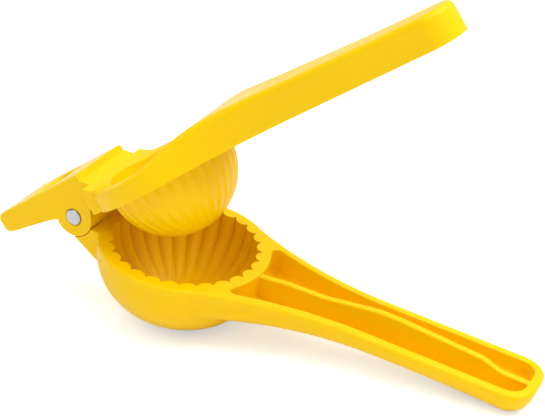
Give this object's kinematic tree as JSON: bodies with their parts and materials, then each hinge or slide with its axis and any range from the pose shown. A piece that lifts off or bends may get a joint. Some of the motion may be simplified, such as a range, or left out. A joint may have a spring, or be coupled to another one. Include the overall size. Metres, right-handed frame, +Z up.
{
  "type": "citrus squeezer",
  "caption": "Hinged hand squeezer with a fluted bowl, a fluted hollow press dome on a lever arm, and a pocketed lower handle.",
  "frame": {"origin": "middle of the level standing flat under the bowl", "axes": "+Z up off the table, +X from the bowl along the lower handle, Y across, along the hinge pin"},
  "size_m": [0.2392, 0.0734, 0.1571],
  "materials": {
    "yellow_plastic": "glossy injection moulding",
    "pin_steel": "satin ground end"
  },
  "bodies": {
    "lower": {"bowl_handle": "yellow_plastic", "hinge_pin": "pin_steel"},
    "press": {"press_handle": "yellow_plastic"}
  },
  "joints": [
    {"name": "hinge", "type": "hinge", "parent": "lower", "child": "press", "pos_m": [-0.04515, 0, 0.04307], "axis": [0, -1, 0], "range_deg": [-42, 65]}
  ]
}
